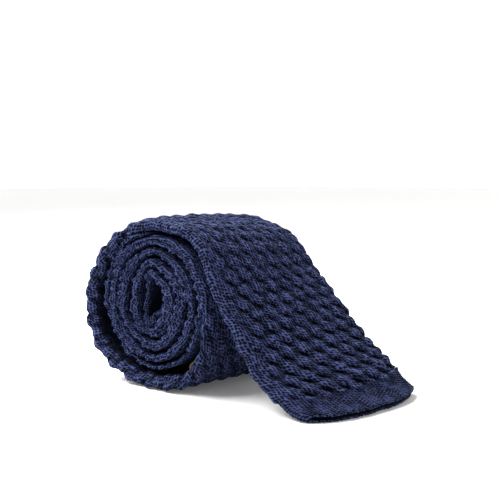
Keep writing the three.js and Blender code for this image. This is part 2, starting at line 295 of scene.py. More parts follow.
class Course:
    """The way that the tie takes round the roll and out along the floor."""

    def __init__(self, sizes):
        self.s = sizes
        self.pitch = 2 * (sizes.pressed_thickness + sizes.clearance)
        core_radius = (sizes.core_width + sizes.core_height) / 4
        self.disc_radius = core_radius + sizes.turns * self.pitch
        self.fold = NARROW_END + 10 * round((sizes.turns - 0.5) * FULL_TURN / 10)
        lowest = self.wide_radii(np.array([270.0]))[0][0]
        self.axis_height = lowest - sizes.floor_flat
        self.edges = {side: self.edge_course(side) for side in ("near", "far")}
        self.blade_length = self.edges["near"][1][-1]

    def roll_radius(self, angle, depth):
        cos, sin = np.cos(np.radians(angle)), np.sin(np.radians(angle))
        core = 1 / np.hypot(cos * 2 / self.s.core_width, sin * 2 / self.s.core_height)
        outside = self.disc_radius * read_ring(DISC_SHAPE, angle)
        return lerp(outside, core, depth / self.s.turns)

    def narrow_radii(self, angle):
        depth = (angle - NARROW_END) / FULL_TURN
        gap = self.s.clearance / 2
        return self.roll_radius(angle, depth + 0.5) + gap, self.roll_radius(angle, depth) - gap

    def wide_radii(self, angle):
        """Front and back radius of the wide half, loose on its first turn."""
        depth = (angle - NARROW_END) / FULL_TURN
        gap = self.s.clearance / 2
        tight_front = self.roll_radius(angle, depth - 0.5) - gap
        tight_back = self.roll_radius(angle, depth) + gap
        joined = np.array([NARROW_END + FULL_TURN])
        joined_front = self.roll_radius(joined, 0.5)[0] - gap
        joined_back = self.roll_radius(joined, 1.0)[0] + gap
        below = self.roll_radius(angle, np.maximum(0, depth)) + gap
        back = below + self.s.loose_slack * read_table(LOOSE_TURN, angle)
        full = read_table(TURN_FULLNESS, angle)
        front = back + lerp(joined_front - joined_back, self.s.blade_thickness, full)
        tight = angle >= NARROW_END + FULL_TURN
        return np.where(tight, tight_front, front), np.where(tight, tight_back, back)

    def roll_point(self, angle, radius):
        x = radius * np.cos(np.radians(angle))
        z = self.axis_height + radius * np.sin(np.radians(angle))
        return np.stack([x, np.maximum(0, z)], axis=-1)

    def on_floor(self, angle, front, back):
        """Lets the underside of the roll lie flat on the floor."""
        sin = np.minimum(np.sin(np.radians(angle)), -1e-6)
        limit = np.where(np.sin(np.radians(angle)) < 0, self.axis_height / -sin, np.inf)
        sunk = np.maximum(0, front - limit)
        return front - sunk, back - sunk

    def roll_stations(self, angle, front, back, width, crown=0.0):
        places = self.roll_point(angle, front), self.roll_point(angle, back)
        return Stations(places, places, width, crown=crown)

    def taper(self, angle, limits, start, end):
        low, high = limits
        return lerp(start, end, smooth((angle - low) / (high - low)))

    def wide_stations(self, angle):
        front, back = self.on_floor(angle, *self.wide_radii(angle))
        crown = self.s.crown * (1 - smooth((angle - CROWN_FROM) / (CROWN_TO - CROWN_FROM)))
        width = self.taper(angle, WIDE_TAPER, self.s.roll_width, self.s.neck_width)
        return self.roll_stations(angle, front, back, width, crown)

    def narrow_stations(self, angle):
        front, back = self.narrow_radii(angle)
        width = self.taper(angle, NARROW_TAPER, self.s.narrow_width, self.s.neck_width)
        return self.roll_stations(angle, front, back, width)

    def fold_stations(self, count):
        """Sections that turn half round at the core, from the wide to the narrow half."""
        at = np.array([float(self.fold)])
        middle = self.roll_radius(at, (at - NARROW_END) / FULL_TURN)[0]
        wide, narrow = self.wide_radii(at)[0][0], self.narrow_radii(at)[0][0]
        turn = np.pi * np.arange(1, count) / count
        radial = np.array([math.cos(math.radians(self.fold)), math.sin(math.radians(self.fold))])
        onward = np.array([-radial[1], radial[0]])
        way = np.outer(np.cos(turn), radial) + np.outer(np.sin(turn), onward)
        reach = lerp(wide - middle, middle - narrow, turn / np.pi)
        centre = self.roll_point(at, np.array([middle]))[0]
        places = centre + way * reach[:, None], centre + way * self.s.clearance / 2
        return Stations(places, places, self.s.neck_width)

    def edge_course(self, side):
        """Course of one edge of the blade, from the top of the roll to its end."""
        column = {"near": 1, "far": 2}[side]
        s = self.s
        points = []
        for row in SHOULDER:
            angle = np.array([float(row[0])])
            beneath = self.wide_radii(angle + FULL_TURN)[0][0]
            radius = beneath + s.clearance + s.blade_thickness / 2 + s.shoulder_lift * row[column]
            if row[0] == TOP:
                radius = self.wide_radii(angle)[1][0] + s.blade_thickness / 2
            points.append(self.roll_point(angle, np.array([radius]))[0])
        leave = points[-1]
        lift = s.corner_lift if side == "far" else 0.0
        for row in RUN:
            out, up = row[0:2] if side == "near" else row[2:4]
            at_corner = smooth(1 - (1 - out) / 0.2)
            points.append(np.array([lerp(leave[0], s.blade_reach, out),
                                    lerp(s.hem_thickness / 2, leave[1], up) + lift * at_corner]))
        path = rounded_path(np.array(points))
        steps = np.linalg.norm(np.diff(path, axis=0), axis=1)
        return path, np.concatenate([[0.0], np.cumsum(steps)])

    def edge_at(self, side, share, thickness):
        path, gone = self.edges[side]
        place = at_length(path, gone, share * gone[-1])
        step = gone[-1] * 0.002
        along = (at_length(path, gone, share * gone[-1] + step)
                 - at_length(path, gone, share * gone[-1] - step))
        along /= np.linalg.norm(along, axis=1)[:, None]
        upright = smooth(2 * share)
        normal = np.stack([-along[:, 1] * upright, lerp(1, along[:, 0], upright)], axis=1)
        normal /= np.linalg.norm(normal, axis=1)[:, None]
        half = (np.broadcast_to(thickness, len(share)) / 2)[:, None]
        front, back = place + normal * half, place - normal * half
        back[:, 1] = np.maximum(0, back[:, 1])
        front[:, 1] = np.maximum(2 * half[:, 0], front[:, 1])
        return front, back

    def blade_stations(self, from_end, thickness, crown=0.0):
        share = from_end / self.blade_length
        near = self.edge_at("near", 1 - share, thickness)
        far = self.edge_at("far", 1 - share, thickness)
        return Stations(
            near, far, lerp(self.s.wide_width, self.s.roll_width, share),
            drift=self.s.far_drift * (1 - smooth(share / 0.8)),
            bow=self.s.end_bow * (1 - smooth(share / 0.45)),
            crown=crown * smooth(share / 0.33))

    def angle_steps(self, start, end, step, radii):
        """Angles from one place to another whose arcs are about as long as the step."""
        angle, found = float(start), [float(start)]
        sign = 1 if end > start else -1
        while True:
            arc = math.degrees(step / radii(np.array([angle]))[1][0])
            angle += sign * min(arc, 6.0)
            if (end - angle) * sign <= 0:
                break
            found.append(angle)
        return np.array([*found, float(end)])


def rounded_path(points, steps=60):
    """A smooth path through points, with tighter bends where they lie closer together."""
    ends = [2 * points[0] - points[1], *points, 2 * points[-1] - points[-2]]
    knots = np.array(ends)
    path = []
    for i in range(1, len(knots) - 2):
        a, b, c, d = knots[i - 1:i + 3]
        gaps = [max(np.linalg.norm(q - p), 1e-6) ** 0.5 for p, q in ((a, b), (b, c), (c, d))]
        slope_b = ((b - a) / gaps[0] - (c - a) / (gaps[0] + gaps[1]) + (c - b) / gaps[1])
        slope_c = ((c - b) / gaps[1] - (d - b) / (gaps[1] + gaps[2]) + (d - c) / gaps[2])
        slope_b, slope_c = slope_b * gaps[1], slope_c * gaps[1]
        last = i == len(knots) - 3
        t = np.linspace(0, 1, steps + 1 if last else steps, endpoint=last)[:, None]
        path.append((2 * t**3 - 3 * t**2 + 1) * b + (t**3 - 2 * t**2 + t) * slope_b
                    + (3 * t**2 - 2 * t**3) * c + (t**3 - t**2) * slope_c)
    return np.concatenate(path)


def at_length(path, gone, reached):
    return np.stack([np.interp(reached, gone, path[:, k]) for k in range(2)], axis=1)


def section_places(stations, across, height, crown_share, slump, whole_width):
    """Places in the sections. Across runs from the near edge, height from back to front."""
    thickness = stations.thickness()[:, None]
    share = (height + 1) / 2 + crown_share * stations.crown[:, None] / thickness
    near = lerp(stations.near_back[:, None], stations.near_front[:, None], share[..., None])
    far = lerp(stations.far_back[:, None], stations.far_front[:, None], share[..., None])
    place = lerp(near, far, across[..., None])
    y = (across - 0.5) * stations.width[:, None] + stations.drift[:, None]
    bow = stations.bow[:, None] * (1 - np.abs(2 * np.clip(across, 0, 1) - 1) ** 3)
    lowered = 1 - slump * (y / whole_width + 0.5)
    return np.stack([place[..., 0] + bow, y, place[..., 1] * lowered], axis=-1)


class Tube:
    """A strip of the flat knitted tube as a net of places, closed round its section.

    The edges of a paired tube swell towards its back, where it lies against its other half.
    """

    def __init__(self, tie, stations, counts, inset=0.0, paired=False):
        s = tie.s
        front, edge, back = counts
        flat_front = np.linspace(0, 1, front)
        flat_back = np.linspace(1, 0, back)
        bend = np.linspace(0, np.pi, edge + 2)[1:-1]
        swell, fall = np.sin(bend), np.cos(bend)
        if paired:
            bend = bend / 2
            swell = np.where(bend < np.pi / 2 - 0.06, np.sin(bend), 0.97)
            fall = 2 * np.cos(bend) - 1
        share = np.concatenate([flat_front, np.ones(edge), flat_back, np.zeros(edge)])
        side = np.concatenate([np.zeros(front), swell, np.zeros(back), -swell[::-1]])
        tall = np.concatenate([np.ones(front), fall, -np.ones(back), fall[::-1]])
        thickness = stations.thickness()[:, None]
        half = thickness / 2
        room = stations.width[:, None] / 2 - half
        y = lerp(-room, room, share) + side * (half - inset) * (1.5 if paired else 1)
        across = y / stations.width[:, None] + 0.5
        middle = 1 - (2 * np.clip(across, 0, 1) - 1) ** 2
        on_front = np.broadcast_to(tall > 0.999, across.shape)
        height = np.broadcast_to(tall, across.shape) * (1 - inset / half)
        self.places = section_places(stations, across, height, np.where(on_front, middle, 0),
                                     s.far_slump, s.wide_width)
        self.along = stations.along()
        self.height = height
        self.across = across
        # Relief of the knit, which the material also reads as painted shade
        self.relief_and_shade = np.zeros(across.shape)
        self.chart = None
        self.measure_round()

    def measure_round(self):
        """Length round each section, as a share of the whole way round."""
        ring = np.concatenate([self.places, self.places[:, :1]], axis=1)
        steps = np.linalg.norm(np.diff(ring, axis=1), axis=2)
        gone = np.concatenate([np.zeros((len(ring), 1)), np.cumsum(steps, axis=1)], axis=1)
        self.round = gone / gone[:, -1:]

    def chart_stitches(self, knit, columns, start=0.0, wobble=0.5, finer=1.0):
        """Counts stitches round and along the tube, with their small irregularities."""
        x = self.round * columns
        gone = (self.along + start) * finer / knit.stitch_length
        y = np.broadcast_to(gone[:, None], x.shape)
        turn = self.round * 2 * np.pi
        shift_x = np.sin(7 * turn + 0.31 * y) + np.sin(13 * turn - 0.53 * y + 1)
        shift_y = np.sin(9 * turn + 0.43 * y + 2) + np.sin(17 * turn - 0.23 * y)
        self.chart = np.stack([x + wobble * 0.4 * shift_x, y + wobble * 0.5 * shift_y], axis=-1)
        return stitch_height(self.chart[:, :-1, 0], self.chart[:, :-1, 1])

    def rim(self):
        """Is 1 at both edges of the tube and falls off quickly from them."""
        return np.abs(2 * self.across - 1) ** 6

    def normals(self):
        p = self.places
        round_way = np.roll(p, -1, axis=1) - np.roll(p, 1, axis=1)
        along_way = np.gradient(p, axis=0)
        normal = np.cross(round_way, along_way)
        normal /= np.maximum(np.linalg.norm(normal, axis=2, keepdims=True), 1e-12)
        centre = p.mean(axis=1, keepdims=True)
        if (normal * (p - centre)).sum() < 0:
            normal = -normal
        return normal

    def raise_by(self, amount, lean=None):
        """Moves every place out along the surface, and along a direction where one is given."""
        self.places = self.places + self.normals() * amount[..., None]
        if lean is not None:
            self.places = self.places + lean
        self.places[..., 2] = np.maximum(self.places[..., 2], ABOVE_FLOOR)


def stitch_height(x, y):
    """Height of the staggered stitches, from 0 in the pinholes to 1 on the yarn."""
    hole = np.hypot(np.mod(x, 1) - 0.5, np.mod(y + x / 2, 1) - 0.5)
    return smooth((hole - 0.1) / 0.4)


def quads_between(rows, columns, first=0, looped=False):
    """Faces of a net that is closed round its columns, and the corners of their map."""
    i, j = np.meshgrid(np.arange(rows if looped else rows - 1), np.arange(columns),
                       indexing="ij")
    after, onward = (j + 1) % columns, (i + 1) % rows
    corners = np.stack([i * columns + j, i * columns + after,
                        onward * columns + after, onward * columns + j], axis=-1)
    wide = columns + 1
    charted = np.stack([i * wide + j, i * wide + j + 1,
                        (i + 1) * wide + j + 1, (i + 1) * wide + j], axis=-1)
    return corners.reshape(-1, 4) + first, charted.reshape(-1, 4)


class Piece:
    """Gathers nets into one mesh, with its map in stitches and its relief, which also carries
    painted shade.
    """

    def __init__(self):
        self.places, self.faces, self.chart, self.relief_and_shade = [], [], [], []
        self.ends = []
        self.count = 0

    def add_net(self, places, chart, relief_and_shade, looped=False):
        rows, columns = places.shape[:2]
        faces, charted = quads_between(rows, columns, self.count, looped)
        chart = chart.reshape(-1, 2)[charted]
        self.places.append(places.reshape(-1, 3))
        self.relief_and_shade.append(relief_and_shade.reshape(-1))
        self.faces.append(faces)
        self.chart.append(chart)
        self.count += rows * columns

    def close_ends(self, shape):
        """One flat face at each end of a net."""
        rows, columns = shape[:2]
        ring = np.arange(columns)
        self.ends += [ring[::-1], ring + (rows - 1) * columns]

    def build(self, name, material, offset):
        places = (np.concatenate(self.places) + offset).astype(np.float32)
        faces = np.concatenate(self.faces).astype(np.int32)
        chart = np.concatenate(self.chart).astype(np.float32)
        relief_and_shade = np.concatenate(self.relief_and_shade).astype(np.float32)
        corners = places[faces]
        turned = np.cross(corners[:, 2] - corners[:, 0], corners[:, 3] - corners[:, 1])
        inside_out = (turned * corners.mean(axis=1)).sum() < 0
        if inside_out:
            faces, chart = faces[:, ::-1], chart[:, ::-1]
        ends = [end[::-1] if inside_out else end for end in self.ends]
        loops = np.concatenate([faces.ravel(), *ends]).astype(np.int32)
        sizes = np.array([4] * len(faces) + [len(end) for end in ends], np.int32)
        starts = np.concatenate([[0], np.cumsum(sizes)[:-1]]).astype(np.int32)
        charted = np.zeros((len(loops), 2), np.float32)
        charted[:faces.size] = chart.reshape(-1, 2)
        mesh = bpy.data.meshes.new(name)
        mesh.vertices.add(len(places))
        mesh.vertices.foreach_set("co", places.ravel())
        mesh.loops.add(len(loops))
        mesh.loops.foreach_set("vertex_index", loops)
        mesh.polygons.add(len(sizes))
        mesh.polygons.foreach_set("loop_start", starts)
        mesh.polygons.foreach_set("use_smooth", sizes == 4)
        layer = mesh.uv_layers.new(name="stitches")
        layer.data.foreach_set("uv", charted.ravel())
        # The relief values go to the material, which paints shade from them
        mesh.attributes.new("relief_and_shade", "FLOAT", "POINT").data.foreach_set("value", relief_and_shade)
        mesh.update(calc_edges=True)
        mesh.validate()
        mesh.materials.append(material)
        made = bpy.data.objects.new(name, mesh)
        bpy.context.scene.collection.objects.link(made)
        return made


def wander(along, seed, size, scale):
    """A smooth wandering line, the same on every run."""
    total = np.zeros_like(along)
    phases = np.random.RandomState(seed).uniform(0, 2 * np.pi, 4)
    for k, phase in enumerate(phases):
        total += np.sin(along / scale * 2 * np.pi * (1.0, 1.7, 2.9, 4.3)[k] + phase) / (k + 1)
    return total * size / 2


def scatter(column, row, salt):
    """A number from -1 to 1 for each bobble, the same on every run."""
    mixed = np.sin(column * 12.9898 + row * 78.233 + salt * 37.719) * 43758.5453
    return 2 * (mixed - np.floor(mixed)) - 1


def bobbles(tube, knit, along_start, width):
    """Relief of half-dropped bobbles, each with a crevice under its lower edge."""
    columns = knit.bobble_columns
    step = 2 * width / columns
    x = tube.round[:, :-1] * columns
    y = (tube.along + along_start)[:, None] / knit.bobble_length + np.zeros_like(x)
    lattice = np.hypot(knit.bobble_length, step) / 2
    steep, level = knit.bobble_length / lattice / 2, step / lattice / 2
    near_i, near_j = np.round(x - y), np.round(-x - y)
    domes, crevices = np.zeros_like(x), np.zeros_like(x)
    for i, j in ((i, j) for i in (-1, 0, 1) for j in (-1, 0, 1)):
        at_i, at_j = near_i + i, near_j + j
        spot = np.mod(at_i, columns), at_i + at_j
        onward = -(y + (at_i + at_j) / 2) * knit.bobble_length
        aside = (x - (at_i - at_j) / 2) * step
        onward = onward + 0.5 * MM * scatter(*spot, 1)
        aside = aside + 0.4 * MM * scatter(*spot, 2)
        down = steep * onward - level * aside
        beside = level * onward + steep * aside
        domes += ((1 + 0.12 * scatter(*spot, 3))
                  * np.exp(-(down / knit.bobble_tall) ** 2 - (beside / knit.bobble_wide) ** 2))
        below = down - 0.47 * lattice
        depth = np.where(below < 0, 0.45, 0.95) * MM
        crevice = np.exp(-(below / depth) ** 2 - (beside / knit.crevice_wide) ** 2)
        crevices = np.maximum(crevices, crevice * (1 + 0.2 * scatter(*spot, 4)))
    return domes - 0.75 * crevices


class Value:
    """A shader value whose sums and products are written as Python expressions."""

    def __init__(self, ink, socket):
        self.ink = ink
        self.socket = socket

    def math(self, operation, *others):
        sockets = [o.socket if isinstance(o, Value) else o for o in (self, *others)]
        return self.ink.node("ShaderNodeMath", {"operation": operation},
                             dict(enumerate(sockets)))

    def __add__(self, other):
        return self.math("ADD", other)

    def __sub__(self, other):
        return self.math("SUBTRACT", other)

    def __rsub__(self, other):
        return self.ink.constant(other).math("SUBTRACT", self)

    def __mul__(self, other):
        return self.math("MULTIPLY", other)

    __radd__ = __add__
    __rmul__ = __mul__

    def output(self, index):
        return Value(self.ink, self.socket.node.outputs[index])

    def sine(self):
        return self.math("SINE")

    def clamped(self):
        return self.math("MAXIMUM", 0.0).math("MINIMUM", 1.0)


class Ink:
    """Writes the nodes of one material."""

    def __init__(self, name):
        self.material = bpy.data.materials.new(name)
        self.material.use_nodes = True
        self.tree = self.material.node_tree
        self.tree.nodes.clear()

    def node(self, kind, settings=None, inputs=None, output=0):
        made = self.tree.nodes.new(kind)
        for key, value in (settings or {}).items():
            setattr(made, key, value)
        for key, value in (inputs or {}).items():
            socket = made.inputs[key]
            if isinstance(value, Value):
                value = value.socket
            if isinstance(value, bpy.types.NodeSocket):
                self.tree.links.new(value, socket)
            else:
                socket.default_value = value
        return None if output is None else Value(self, made.outputs[output])

    def constant(self, number):
        made = self.node("ShaderNodeValue")
        made.socket.default_value = number
        return made

    def mix(self, factor, a, b):
        return self.node("ShaderNodeMix", {"data_type": "RGBA"},
                         {"Factor": factor, 6: a, 7: b}, output=2)

    def noise(self, vector, scale, detail=2.0):
        return self.node("ShaderNodeTexNoise", {},
                         {"Vector": vector, "Scale": scale, "Detail": detail})

    def finish(self, color, rough, height, depth, sheen=0.0):
        bump = self.node("ShaderNodeBump", {}, {"Height": height, "Distance": depth,
                                                "Strength": 1.0})
        shader = self.node("ShaderNodeBsdfPrincipled", {},
                           {"Base Color": color, "Roughness": rough, "Normal": bump,
                            "Sheen Weight": sheen, "Sheen Roughness": 0.5,
                            "Specular IOR Level": 0.04})
        return self.surface(shader)

    def surface(self, shader):
        self.node("ShaderNodeOutputMaterial", {}, {"Surface": shader}, output=None)
        return self.material


def shade(color, factor):
    return (*(min(1.0, c * factor) for c in color), 1.0)


def knit_material(name, knit, tint=1.0, uneven=0.35, pit_painted_shade=0.85, hole=1.05):
    """Staggered stitches with painted shade in their pinholes, and more painted shade in the
    crevices.
    """
    ink = Ink(name)
    chart = ink.node("ShaderNodeUVMap", {"uv_map": "stitches"})
    parts = ink.node("ShaderNodeSeparateXYZ", {}, {0: chart})
    x, y = parts, parts.output(1)
    middle = (uneven - 1) / 2
    stagger = ink.node("ShaderNodeCombineXYZ", {}, {0: x + middle, 1: y + x * 0.5 + middle})
    cells = ink.node("ShaderNodeTexVoronoi", {"voronoi_dimensions": "2D"},
                     {"Vector": stagger, "Scale": 1.0, "Randomness": uneven})
    chance = ink.node("ShaderNodeSeparateXYZ", {}, {0: cells.output(1)})
    # Painted shade: the pinholes between stitches are drawn in dark navy
    yarn = (cells * (4.8 - chance * 1.4) - hole).clamped()
    fibre = ink.noise(chart, 3.4, 3.0)
    patch = ink.noise(chart, 0.45, 2.0)
    relief_and_shade = ink.node("ShaderNodeAttribute", {"attribute_name": "relief_and_shade"}, output=2)
    # Painted shade: the colour darkens where the per-point relief value is low, in crevices,
    # inside turns and at the core
    depth = (relief_and_shade * -1.5 - 0.05).clamped() * pit_painted_shade
    # Painted highlight and shade: raised places are drawn lighter and low places darker
    lit = (yarn * 1.05 + fibre * 1.1 + patch * 0.5 + relief_and_shade * 0.4 - 0.95).clamped()
    base = ink.mix(lit * (1 - depth), shade(knit.navy, 0.13), shade(knit.navy, tint * 3.3))
    height = yarn + fibre * 0.8
    return ink.finish(base, lit * -0.15 + 0.75, height, knit.stitch_depth)


def cloth_material(name, knit):
    """A fine ribbed ribbon."""
    ink = Ink(name)
    chart = ink.node("ShaderNodeUVMap", {"uv_map": "stitches"})
    parts = ink.node("ShaderNodeSeparateXYZ", {}, {0: chart})
    rib = (parts * (6 * math.pi)).sine() * 0.5 + 0.5
    fibre = ink.noise(chart, 9.0)
    lit = (rib * 0.5 + fibre * 0.6).clamped()
    base = ink.mix(lit, shade(knit.label_grey, 0.7), shade(knit.label_grey, 1.2))
    return ink.finish(base, lit * -0.1 + 0.8, rib, knit.stitch_depth / 4, 0.15)


def tie_parts():
    """The tie's course, its knit, and where the frame puts its origin."""
    s = bpy.context.scene.tie_sizes
    course = Course(s)
    blade_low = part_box("wide_blade")[0]
    hem_low, hem_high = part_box("wide_hem")
    right = course.edge_at("near", np.array([1.0]), s.hem_thickness)[0][0, 0] + s.end_bow
    left = course.wide_stations(np.arange(150.0, 260.0, 10.0)).near_front[:, 0].min()
    offset_x = (hem_high.x - right + blade_low.x - left) / 2
    offset_y = hem_low.y + s.wide_width / 2 - s.far_drift
    return course, bpy.context.scene.knit_sizes, np.array([offset_x, offset_y, 0.0])


def put(piece, name, material, offset, nodes):
    made = piece.build(name, material, offset)
    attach(made, "root")
    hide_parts(*nodes)
    return made


def stitch_columns(width, knit, finer=1.0):
    return 2 * round(width * finer / knit.stitch_width)


def bobble_strength(tie, tube, on_roll, from_end, begin):
    """How far the bobbles stand out at each place. Pressed knit is flatter."""
    near_fade = lerp(0.3, 1, smooth((tube.across - 0.02) / 0.13))
    near_fade = lerp(near_fade, 1, smooth(on_roll / 40)[:, None])
    pressed = 1 - 0.9 * smooth((on_roll - 240) / 60)[:, None]
    near_hem = 1 + 0.35 * smooth(1 - (from_end - tie.s.hem_length) / (40 * MM))
    tight = lerp(1, 0.7, smooth((from_end - 55 * MM) / (35 * MM)))
    tight = lerp(tight, 1, tube.rim() * smooth(on_roll / 30)[:, None])
    return near_fade * pressed * begin * near_hem * tight


def swell_near_rim(tube, on_roll):
    """Thickens the near rim of the loose turn, at the left of the roll and below."""
    swollen = smooth(on_roll / 60) * smooth((220 - on_roll) / 25)
    tube.raise_by(RIM_SWELL * swollen[:, None] * smooth(1 - tube.across / 0.12)
                  * (tube.height < 0.5))
    tube.measure_round()


def paint_shade_inside(tube, on_roll):
    """Paints shade over the inside of the loose turn, but for its rims, as dark as in a crevice.
    """
    within = smooth(on_roll / 30)[:, None] * smooth((0.995 - np.abs(2 * tube.across - 1)) / 0.02)
    tube.relief_and_shade = np.where(tube.height < -0.9, lerp(tube.relief_and_shade, INSIDE_PAINTED_SHADE, within),
                           tube.relief_and_shade)


def knit_blade(tie, knit, tube, on_roll, gone):
    """Gives a stretch of the wide half its bobbles and stitches."""
    width = tie.s.wide_width
    from_end = (tube.along + gone)[:, None]
    begin = smooth((from_end - tie.s.hem_length + BOBBLES_BEGIN) / BOBBLES_BEGIN)
    strength = bobble_strength(tie, tube, on_roll, from_end, begin)
    swell_near_rim(tube, on_roll)
    shape = bobbles(tube, knit, gone, width)
    stitches = tube.chart_stitches(knit, stitch_columns(width, knit), gone)
    # The bobbles' relief raises the surface below, and also paints shade into crevices and light
    # onto bobble tops
    tube.relief_and_shade = (shape - 0.6) * strength
    onward = np.gradient(tube.places, axis=0)
    onward /= np.linalg.norm(onward, axis=2, keepdims=True)
    hang = knit.bobble_lean * np.clip(shape, 0, 1) * strength * (1 - tube.rim())
    lean = -hang[..., None] * onward * 0.8
    lean[..., 1] += wander(from_end[:, 0], 3, RIM_WAVE, 0.013)[:, None] * tube.rim() - 0.6 * hang
    tube.raise_by(tube.relief_and_shade * knit.bobble_height
                  + (stitches - 0.5) * knit.stitch_relief * lerp(1.7, 1, begin), lean)
    # Painted shade inside the loose turn
    paint_shade_inside(tube, on_roll)


def loft(tie, from_end):
    """Thickness of the tube at the wide end, from the plain hem up to the bobbles."""
    s = tie.s
    rise = (from_end - 0.6 * s.hem_length) / (0.8 * s.hem_length)
    return lerp(s.hem_thickness, s.blade_thickness, smooth(rise))


def put_strip(tube, name, material, offset, nodes):
    piece = Piece()
    piece.add_net(tube.places, tube.chart, tube.relief_and_shade)
    piece.close_ends(tube.places.shape)
    return put(piece, name, material, offset, nodes)


class KNIT_OT_wide_blade(bpy.types.Operator):
    """Knit the wide blade, from its hem over the roll and once round it"""

    bl_idname = "knit.wide_blade"
    bl_label = "Wide Blade"

    def execute(self, context):
        tie, knit, offset = tie_parts()
        s = tie.s
        start = s.hem_length + SEAM
        from_end = np.arange(start, tie.blade_length, BLADE_STEP)
        angles = tie.angle_steps(TOP, RUN_END, BLADE_STEP, tie.wide_radii)
        stations = (tie.blade_stations(from_end, loft(tie, from_end), s.crown)
                    + tie.wide_stations(angles))
        tube = Tube(tie, stations, BLADE_PLACES)
        on_roll = np.concatenate([np.zeros(len(from_end)), angles - TOP])
        material = knit_material("bobble_knit", knit)
        knit_blade(tie, knit, tube, on_roll, start)
        put_strip(tube, "wide_blade_knit", material, offset, ["wide_blade"])
        angles = tie.angle_steps(RUN_END, BLADE_END, TURN_STEP, tie.wide_radii)
        turn = Tube(tie, tie.wide_stations(angles), TURN_PLACES)
        knit_blade(tie, knit, turn, angles - TOP, start + tube.along[-1])
        put_strip(turn, "outer_turn_knit", material, offset, ["wide_blade"])
        return {"FINISHED"}


def hem_lip(inner, outer):
    """Rows of the rounded lip of the hem's mouth, from its inner to its outer face."""
    onward = outer.places[0] - outer.places[2]
    onward /= np.linalg.norm(onward, axis=1)[:, None]
    rows = []
    for turn in np.linspace(0, np.pi, LIP_ROWS + 2)[1:-1]:
        at = lerp(inner.places[0], outer.places[0], (1 - math.cos(turn)) / 2)
        rows.append(at + onward * LIP_REACH * math.sin(turn))
    return np.array(rows)


def shape_hem(tie, inner, outer):
    """Ripples both faces of the hem and rounds its near corner."""
    ripple = wander(outer.along[:, None] + outer.across * tie.s.wide_width, 5, HEM_RIPPLE, 0.017)
    end = smooth(1 - outer.along / (4 * MM))[:, None]
    for tube in (outer, inner):
        tube.places[..., 1] += CORNER_ROUND * end * np.clip(1 - 2 * tube.across, 0, 1) ** 3
        tube.places[..., 2] += ripple


class KNIT_OT_wide_hem(bpy.types.Operator):
    """Knit the plain hem at the wide end, with its open mouth"""

    bl_idname = "knit.wide_hem"
    bl_label = "Wide Hem"

    def execute(self, context):
        tie, knit, offset = tie_parts()
        s = tie.s
        from_end = np.arange(0.0, s.hem_length, HEM_STEP)
        stations = tie.blade_stations(from_end, loft(tie, from_end), s.crown)
        outer = Tube(tie, stations, HEM_PLACES)
        inner = Tube(tie, stations, HEM_PLACES, inset=HEM_WALL)
        knit_blade(tie, knit, outer, np.zeros(len(from_end)), 0.0)
        shape_hem(tie, inner, outer)
        lip = hem_lip(inner, outer)
        rows = np.concatenate([inner.places[::-1], lip, outer.places])
        rows[..., 2] = np.maximum(rows[..., 2], ABOVE_FLOOR)
        lip_along = np.arange(1, LIP_ROWS + 1) * LIP_ROUND / (LIP_ROWS + 1) - LIP_ROUND
        along = np.concatenate([-outer.along[::-1] - LIP_ROUND, lip_along, outer.along,
                                outer.along[-1:] + LIP_ROUND]) / knit.stitch_length
        columns = stitch_columns(s.wide_width, knit)
        x = np.broadcast_to(outer.round[:1] * columns, (len(along), rows.shape[1] + 1))
        y = np.broadcast_to(along[:, None], x.shape)
        # Painted shade: the inner face of the hem's mouth is marked 0.7 lower, so the material
        # draws it darker
        relief_and_shade = np.concatenate([inner.relief_and_shade[::-1] - 0.7, np.zeros(lip.shape[:2]),
                                 outer.relief_and_shade])
        piece = Piece()
        piece.add_net(rows, np.stack([x, y], axis=-1), relief_and_shade, looped=True)
        # Painted shade: the hem's yarn is drawn at 0.76 lightness, darker than the same yarn
        # elsewhere
        material = knit_material("plain_knit", knit, tint=0.76, uneven=0.12)
        put(piece, "wide_hem_knit", material, offset, ["wide_hem"])
        return {"FINISHED"}


def settle_core(tie, places):
    """Sways the inner turns a little and blunts the ends of the slot at the core."""
    x, z = places[..., 0], places[..., 2] - tie.axis_height
    inner = smooth((24 * MM - np.hypot(x, z)) / (16 * MM))
    core = np.exp(-(np.hypot(x, z) / CORE_REACH) ** 2)
    x = x * (1 - CORE_PINCH * core) - CORE_LEFT * core
    z = z * (1 + CORE_STRETCH * core) - CORE_DOWN * core
    tip = np.exp(-(x / (3.2 * MM)) ** 2)
    z = z * (1 - SLOT_BLUNT * tip * inner)
    x = x + SWAY_X * np.sin(z / (27 * MM) * 2 * np.pi + 0.8) * inner
    z = z + SWAY_Z * np.sin(x / (21 * MM) * 2 * np.pi + 2.0) * inner
    return np.stack([x, places[..., 1], z + tie.axis_height], axis=-1)


